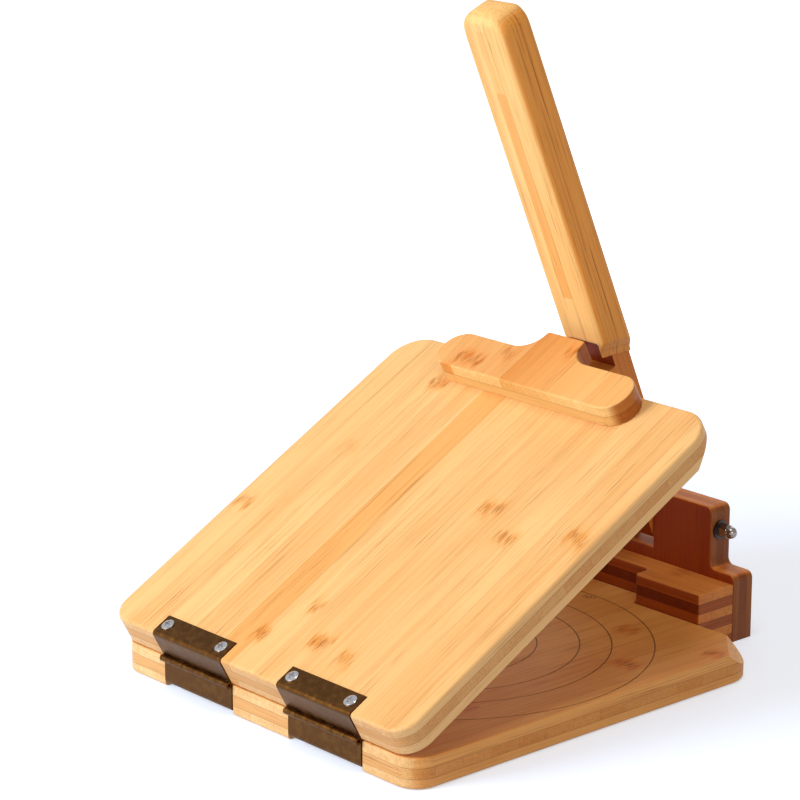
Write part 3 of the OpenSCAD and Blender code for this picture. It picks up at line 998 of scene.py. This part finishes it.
@dataclass
class BaseAssembly:
    """Base board with its rings and numbers, step block and post.

    Attributes:
        rings: Ring diameters in millimetres, largest first.
        labels: Number drawn at the back of each ring, in inches.
    """

    rings: tuple[float, ...] = (254.0, 203.2, 165.1, 114.3)
    labels: tuple[str, ...] = ('10"', '8"', '6.5"', '4.5"')

    def dress(self, figures: Figures) -> None:
        """Give the base's wooden pieces their finishes.

        Args:
            figures: The shared groups.
        """
        culms = (Culm(58.9, 97.8, 19.0), Culm(99.9, 56.1, 21.0, 1.2),
                 Culm(122.4, 106.9, 15.0, 1.3), Culm(18.0, 40.0, 17.0),
                 Culm(86.0, -60.0, 20.0), Culm(-38.0, 70.0, 18.0),
                 Culm(-96.0, 4.0, 20.0))
        board = BambooFinish("bamboo_base_board", Grain.BOARD, seed=0.43,
                             light=(250, 212, 152), deep=(220, 156, 88),
                             culms=culms, rings=self.rings,
                             # painted shade: the board's sides and top are multiplied by tints
                             # for how light falls on them
                             faces=(PaintedFaceShade(0, 0, (246, 220, 184)),
                                    PaintedFaceShade(2, 0, (246, 217, 178)))).build(figures)
        block = BambooFinish("bamboo_step_block", Grain.BLOCK, seed=2.1,
                             light=(226, 148, 74), deep=(176, 94, 36), end=(104, 48, 18),
                             ply=6.15, plies=6, turned=True, knots=0.6,
                             crossed=(190, 156, 120),
                             # painted shadow: the block's front faces are darkened where the lid
                             # shades them, and its ends barely
                             faces=(PaintedFaceShade(0, 1, (194, 151, 120)),
                                    PaintedFaceShade(1, 0, (255, 252, 246)))).build(figures)
        post = BambooFinish("bamboo_post", Grain.POST, seed=3.7,
                            light=(226, 140, 60), deep=(190, 100, 36), end=(120, 58, 24),
                            ply=5.92, strip=16.0, knots=0.6,
                            # painted shade: the post's sides are greyed, its front darkened red
                            # where the lid shades it, and its back a little
                            faces=(PaintedFaceShade(0, 0, (170, 164, 170)),
                                   PaintedFaceShade(2, -1, (176, 124, 98)),
                                   PaintedFaceShade(2, 1, (212, 196, 184)))).build(figures)
        dress("base_board", board)
        dress("step_block", block)
        dress("post", post)

    def number(self, label: str, diameter: float,
               material: bpy.types.Material) -> bpy.types.Object:
        """Make one engraved number just inside its ring.

        Args:
            label: The number, in inches.
            diameter: Its ring's diameter in millimetres.
            material: The burnt finish.

        Returns:
            The number, a thin flat mesh on the board's top.
        """
        curve = bpy.data.curves.new("number", "FONT")
        curve.body = label
        curve.size = 7.4 * MM
        curve.align_x = "CENTER"
        curve.align_y = "CENTER"
        curve.extrude = 0.03 * MM
        source = place_object("number", curve)
        bpy.context.view_layer.update()
        mesh = bpy.data.meshes.new_from_object(source)
        bpy.data.objects.remove(source)
        name = "ring_number_" + label.replace('"', "").replace(".", "_")
        mesh.transform(Matrix.Translation(
            (1.1 * MM, (RING_CENTRE_Y + diameter / 2 - 4.8) * MM, (BOARD_THICKNESS + 0.02) * MM)))
        piece = place_object(name, mesh)
        mesh.materials.clear()
        mesh.materials.append(material)
        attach(piece, "base")
        LOG.info("made %s", name)
        return piece

    def build(self, figures: Figures) -> None:
        """Dress the base and add its numbers.

        Args:
            figures: The shared groups.
        """
        self.dress(figures)
        ink = burnt_ink()
        for label, diameter in zip(self.labels, self.rings):
            self.number(label, diameter, ink)


class LidAssembly:
    """Top board and press block."""

    CULMS: tuple[Culm, ...] = (
        Culm(-121.0, 111.0, 16.0, 0.8), Culm(-73.4, 243.2, 17.0), Culm(47.8, 163.4, 19.0, 1.1),
        Culm(74.7, 148.0, 19.0, 0.9), Culm(118.9, 163.3, 20.0, 0.9),
        Culm(-16.8, 30.2, 13.0, 1.1), Culm(26.7, 37.8, 19.0, 1.2), Culm(0.9, 60.1, 12.0, 0.8),
        Culm(52.6, 33.6, 16.0, 0.8), Culm(-88.0, 175.0, 18.0, 0.25))
    BLOCK_CULMS: tuple[Culm, ...] = (
        Culm(-50.3, 256.4, 26.0, 1.1), Culm(-27.0, 268.0, 12.0, 0.6), Culm(13.7, 281.4, 9.0, 0.9))

    def build(self, figures: Figures) -> None:
        """Dress the top board and the press block.

        Args:
            figures: The shared groups.
        """
        whole = (-400.0, 400.0)
        board = BambooFinish(
            "bamboo_top_board", Grain.LID, seed=0.77, strip=23.0, culms=self.CULMS,
            planks=(Plank((-36.5, -17.3), whole, (249, 232, 208), 1.0, 0.0, 0.4),
                    Plank((-17.3, 30.0), whole, (255, 252, 248), 0.5, 1.0, 0.4)))
        block = BambooFinish(
            "bamboo_press_block", Grain.LID, seed=5.2, strip=30.0, ply=PRESS_PLY, plies=2,
            turned=True, offset=BOARD_THICKNESS, light=(245, 214, 148), deep=(230, 174, 100),
            # painted shade: the block's sides are darkened and its top a little, for how light
            # falls on them
            faces=(PaintedFaceShade(0, 0, (190, 144, 108)), PaintedFaceShade(2, 0, (250, 223, 208))),
            culms=self.BLOCK_CULMS,
            planks=(Plank((-15.5, 48.0), whole, (240, 216, 184), 1.0, 0.8, 0.6),
                    Plank((-90.0, -15.5), (247.6, 300.0), (245, 233, 228)),
                    Plank((-76.0, -59.0), (230.0, 247.4), (232, 180, 132), 0.9, 0.0, 0.3,
                          BOARD_THICKNESS + PRESS_PLY),
                    Plank((-59.0, -15.5), (230.0, 247.4), (255, 246, 236), 0.8, 0.0, 0.5,
                          BOARD_THICKNESS + PRESS_PLY)))
        dress("top_board", board.build(figures))
        dress("press_block", block.build(figures))


@dataclass
class LeverAssembly:
    """Handle and arm of the lever.

    The handle is sanded: it is drawn fuller and softer than the plain solid.
    Its own axes are x across, y from its front to its back and z up the
    lever, with the pivot at zero.

    Attributes:
        width: Width of the sanded handle in millimetres.
        plain_width: Width of the plain solid in millimetres.
        front: Distance of the sanded front from the pivot in millimetres.
        plain_front: The same for the plain solid.
        back: Distance of the sanded back from the pivot in millimetres.
        plain_back: The same for the plain solid.
        arm_half: Half the width of the arm, which stays free.
        top: Distance from the pivot to the sanded top in millimetres.
        plain_top: The same for the plain solid.
        nose: Radius of the top's front edge in millimetres.
        heel: Radius of the top's back edge in millimetres.
        lean: How much further than the arm the handle leans, in degrees.
        grain: Side of the cells that the surface is sanded in.
        passes: How often the top is sanded.
        sand_from: Height from which the top is sanded, in millimetres.
        sand_over: Height over which that sanding sets in, in millimetres.
    """

    width: float = 36.2
    plain_width: float = 35.0
    front: float = -7.6
    plain_front: float = -6.4
    back: float = 16.3
    plain_back: float = 13.3
    arm_half: float = 12.4
    top: float = 355.6
    plain_top: float = 354.5
    nose: float = 8.0
    heel: float = 8.5
    lean: float = 0.45
    grain: float = 0.9
    passes: int = 14
    sand_from: float = 338.0
    sand_over: float = 8.0

    def to_lever(self) -> Matrix:
        """Return the matrix from the part's frame to the lever's, in millimetres."""
        return (Matrix.Scale(1 / MM, 4)
                @ Matrix.Rotation(math.radians(-LEAN_ANGLE), 4, "X")
                @ Matrix.Translation((0.0, -PIVOT_Y * MM, -PIVOT_Z * MM)))

    def fuller(self, points: np.ndarray) -> np.ndarray:
        """Widen, thicken and round the handle.

        In words: depth is stretched linearly from the plain front and back
        to the sanded ones; width grows outside the arm only; the top's front
        and back edges are pulled onto circles of the nose and heel radius;
        and the whole turns about the pivot by the extra lean.

        Args:
            points: Points in the lever's axes, one per row.

        Returns:
            The moved points.
        """
        x, y, z = points.T.copy()
        share = (y - self.plain_front) / (self.plain_back - self.plain_front)
        y = self.front + share * (self.back - self.front)
        outside = np.clip((np.abs(x) - self.arm_half) /
                          (self.plain_width / 2 - self.arm_half), 0.0, 1.0)
        x = x + np.sign(x) * outside * (self.width - self.plain_width) / 2
        z = z - (self.plain_top - self.top) * np.clip((z - 200.0) / 150.0, 0.0, 1.0)
        for side, edge, radius in ((-1.0, self.front, self.nose), (1.0, self.back, self.heel)):
            # distances from the circle's centre, outwards and upwards
            middle, crown = edge - side * radius, self.top - radius
            out, above = side * (y - middle), z - crown
            reach = np.hypot(out, above)
            corner = (out > 0) & (above > 0) & (reach > radius)
            pull = np.where(corner, radius / np.maximum(reach, 1e-6), 1.0)
            y = np.where(corner, middle + side * out * pull, y)
            z = np.where(corner, crown + above * pull, z)
        angle = math.radians(self.lean)
        turned_y = y * math.cos(angle) - z * math.sin(angle)
        turned_z = y * math.sin(angle) + z * math.cos(angle)
        return np.stack([x, turned_y, turned_z], axis=1)

    def softened(self, mesh: bpy.types.Mesh, points: np.ndarray) -> np.ndarray:
        """Sand the top harder than the rest.

        In words: each point there moves part of the way to the mean of its
        neighbours, again and again; the share fades to none below the top.

        Args:
            mesh: The mesh that the points belong to.
            points: Points in the lever's axes, one per row.

        Returns:
            The sanded points.
        """
        ends = np.empty(len(mesh.edges) * 2, dtype=np.int64)
        mesh.edges.foreach_get("vertices", ends)
        first, second = ends.reshape(-1, 2).T
        height = (points[:, 2] - self.sand_from) / self.sand_over
        share = 0.5 * np.clip(height, 0.0, 1.0)[:, None]
        count = np.maximum(np.bincount(ends, minlength=len(points)), 1)[:, None]
        for _ in range(self.passes):
            total = np.stack([np.bincount(first, points[second, axis], len(points))
                              + np.bincount(second, points[first, axis], len(points))
                              for axis in range(3)], axis=1)
            points = points + share * (total / count - points)
        return points

    def sanded_handle(self) -> bpy.types.Object:
        """Make the sanded handle from a copy of the plain one.

        Returns:
            The handle, which stands for the plain solid.
        """
        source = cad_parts["lever_handle"]
        mesh = source.data.copy()
        mesh.name = "sanded_handle"
        mesh.transform(source.matrix_world)
        lever = self.to_lever()
        mesh.transform(lever)
        builder = bmesh.new()
        builder.from_mesh(mesh)
        bmesh.ops.remove_doubles(builder, verts=builder.verts, dist=1e-3)
        builder.to_mesh(mesh)
        builder.free()
        piece = place_object("sanded_handle", mesh)
        cells = piece.modifiers.new("cells", "REMESH")
        cells.mode = "VOXEL"
        cells.voxel_size = self.grain
        sand = piece.modifiers.new("sand", "SMOOTH")
        sand.factor, sand.iterations = 0.5, 5
        graph = bpy.context.evaluated_depsgraph_get()
        smooth = bpy.data.meshes.new_from_object(piece.evaluated_get(graph))
        piece.modifiers.clear()
        count = len(smooth.vertices)
        points = np.empty(count * 3)
        smooth.vertices.foreach_get("co", points)
        moved = self.softened(smooth, points.reshape(count, 3))
        moved = self.fuller(moved)
        smooth.vertices.foreach_set("co", moved.ravel())
        smooth.transform(lever.inverted())
        smooth.polygons.foreach_set("use_smooth", np.ones(len(smooth.polygons), dtype=bool))
        smooth.update()
        piece.data = smooth
        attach(piece, "lever")
        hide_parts("lever_handle")
        LOG.info("made %s with %d points", piece.name, count)
        return piece

    def build(self, figures: Figures) -> None:
        """Make the handle and dress it and the arm.

        Args:
            figures: The shared groups.
        """
        handle = BambooFinish(
            "bamboo_handle", Grain.LEVER, seed=1.75, light=(247, 203, 132),
            deep=(230, 164, 90), strip=11.4, ply=0.0,
            # painted shade: the handle's sides are darkened for how light falls on them
            faces=(PaintedFaceShade(0, 0, (243, 207, 156)),),
            seams=((-3.6, 0.75), (-0.6, 0.4), (2.2, 0.3), (-9.8, 0.25)),
            planks=(Plank((-4.4, 3.0), (162.0, 304.0), (247, 224, 196), 1.0, 0.0, 0.5),
                    Plank((-4.4, 3.0), (304.0, 345.0), (251, 238, 222), 0.7, 0.0, 0.3),
                    Plank((3.0, 19.0), (100.0, 350.0), (255, 252, 244), 0.6, 0.0, 0.5)))
        arm = BambooFinish("bamboo_arm", Grain.LEVER, seed=6.4, light=(224, 152, 78),
                           deep=(190, 112, 46), end=(120, 62, 26), ply=0.0,
                           # painted shadow: the arm's front is darkened where the cheeks and tab
                           # shade it, and its sides a little
                           faces=(PaintedFaceShade(0, 0, (252, 232, 196)),
                                  PaintedFaceShade(2, 1, (178, 116, 64))))
        finish = handle.build(figures)
        dress("lever_handle", finish)
        piece = self.sanded_handle()
        piece.data.materials.clear()
        piece.data.materials.append(finish)
        dress("lever_arm", arm.build(figures))


class Hardware:
    """Hinges, screws, rod, washers and nuts."""

    FINISHES: dict[str, MetalFinish] = {
        "bronze": MetalFinish("bronzed_steel", (96, 61, 25), (148, 108, 54), 0.42, 0.38),
        "nickel": MetalFinish("nickel_screws", (206, 205, 208), (240, 238, 238), 0.5, 0.17),
        "rod": MetalFinish("rod_steel", (150, 148, 145), (190, 188, 184), 0.5, 0.3),
        "dark": MetalFinish("dark_washers", (70, 60, 56), (128, 116, 108), 0.5, 0.32),
        "polished": MetalFinish("polished_nuts", (150, 142, 138), (196, 188, 184), 0.4, 0.10),
    }
    WEARS: dict[str, tuple[str, ...]] = {
        "bronze": ("lower_leaf_left", "lower_leaf_right", "upper_leaf_left",
                   "upper_leaf_right", "hinge_pin_left", "hinge_pin_right"),
        "nickel": ("base_screws", "lid_screws"),
        "rod": ("pivot_rod",),
        "dark": ("washers",),
        "polished": ("acorn_nuts",),
    }

    def build(self, scuffs: Tree) -> None:
        """Dress every metal piece.

        Args:
            scuffs: The shared scuffing group.
        """
        for key, names in self.WEARS.items():
            material = self.FINISHES[key].build(scuffs)
            for name in names:
                dress(name, material)


# --------------------------------------------------------------------------
# Studio
# --------------------------------------------------------------------------


@dataclass
class Studio:
    """Camera, lamps, floor and world.

    Attributes:
        eye: Camera position in millimetres.
        aim: Point that the camera looks at, in millimetres.
        lens: Focal length in millimetres on a 36 mm sensor.
        ambient: Strength of the surround for scattered light.
    """

    eye: Point = (1292.2, -1175.0, 655.2)
    aim: Point = (-27.41, -7.0, 163.24)
    lens: float = 140.37
    ambient: float = 0.36

    def camera(self) -> None:
        """Make the camera at its viewing angle."""
        data = bpy.data.cameras.new("camera")
        data.lens, data.sensor_width = self.lens, SENSOR_WIDTH
        data.clip_start, data.clip_end = 0.01, 100.0
        camera = place_object("camera", data)
        eye, aim = Vector(self.eye) * MM, Vector(self.aim) * MM
        camera.location = eye
        camera.rotation_euler = (aim - eye).to_track_quat("-Z", "Y").to_euler()
        bpy.context.scene.camera = camera

    def lamp(self, name: str, place: Point, size: float, power: float,
             target: Point = (0.0, 0.0, 0.1), colour: Colour = (1.0, 1.0, 1.0)) -> None:
        """Add a square soft lamp that faces a target.

        Args:
            name: The lamp's name.
            place: Position in metres.
            size: Side in metres.
            power: Power in watts.
            target: Point that it faces, in metres.
            colour: Its colour.
        """
        data = bpy.data.lights.new(name, "AREA")
        data.shape, data.size, data.energy, data.color = "SQUARE", size, power, colour
        lamp = place_object(name, data)
        lamp.location = place
        lamp.rotation_euler = (Vector(target) - Vector(place)).to_track_quat(
            "-Z", "Y").to_euler()

    def world(self) -> None:
        """Make a soft grey surround that the camera and gloss see as white."""
        world = bpy.data.worlds.new("surround")
        bpy.context.scene.world = world
        world.use_nodes = True
        pen = Sketch(world.node_tree)
        background = world.node_tree.nodes["Background"]
        path = pen.node("ShaderNodeLightPath")
        seen = pen.math("MAXIMUM", path.outputs["Is Camera Ray"],
                        path.outputs["Is Transmission Ray"])
        strength = pen.math("MAXIMUM", seen, pen.times(path.outputs["Is Glossy Ray"], 0.6))
        strength = pen.math("MAXIMUM", strength, self.ambient)
        pen.feed(background.inputs["Strength"], strength)
        warm = path.outputs["Is Diffuse Ray"]
        pen.feed(background.inputs["Color"],
                 pen.mix(warm, (1.0, 1.0, 1.0, 1.0), (1.0, 0.82, 0.58, 1.0)))

    def floor(self) -> None:
        """Make the pale floor, a square grid."""
        side = np.linspace(-6.0, 6.0, 5)
        x, y = np.meshgrid(side, side)
        points = np.stack([x.ravel(), y.ravel(), np.full(x.size, -0.0002)], axis=1)
        row = np.arange(4)[:, None] * 5 + np.arange(4)[None, :]
        faces = np.stack([row, row + 1, row + 6, row + 5], axis=-1).reshape(-1, 4)
        mesh = bpy.data.meshes.new("floor")
        mesh.from_pydata(points.tolist(), [], faces.tolist())
        floor = place_object("floor", mesh)
        material, pen, shader = new_material("pale_floor")
        shader.inputs["Base Color"].default_value = (0.60, 0.72, 0.98, 1.0)
        shader.inputs["Roughness"].default_value = 0.9
        shader.inputs["Specular IOR Level"].default_value = 0.0
        path = pen.node("ShaderNodeLightPath")
        seen = pen.math("MAXIMUM", path.outputs["Is Camera Ray"],
                        path.outputs["Is Glossy Ray"])
        shader.inputs["Emission Color"].default_value = (1.0, 1.0, 1.0, 1.0)
        geometry = pen.node("ShaderNodeNewGeometry")
        length = pen.node("ShaderNodeVectorMath", operation="LENGTH")
        pen.feed(length.inputs[0], geometry.outputs["Position"])
        glow = pen.ramp(length.outputs["Value"], 0.35, 0.9, 0.46, 1.0)
        pen.feed(shader.inputs["Emission Strength"], pen.times(seen, glow))
        mesh.materials.append(material)

    def build(self) -> None:
        """Build the whole studio."""
        self.camera()
        self.world()
        self.floor()
        self.lamp("key", (-0.6, -1.9, 1.05), 0.9, 40.0)
        self.lamp("top", (0.3, -0.35, 1.9), 0.6, 7.0)
        self.lamp("side", (1.9, -0.7, 0.75), 0.7, 7.0, colour=(1.0, 0.90, 0.74))
        self.lamp("rear", (-0.9, 1.9, 1.1), 0.9, 5.0, colour=(1.0, 0.94, 0.84))
        bpy.context.scene.view_settings.view_transform = "Standard"


def main() -> None:
    """Build the studio, then each sub-assembly in order."""
    Studio().build()
    culm = build_culm_group()
    figures = Figures(build_bamboo_group(culm), culm, build_plank_group())
    scuffs = build_scuff_group()
    BaseAssembly().build(figures)
    LidAssembly().build(figures)
    LeverAssembly().build(figures)
    Hardware().build(scuffs)
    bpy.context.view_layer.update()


if __name__ == "__main__":
    main()
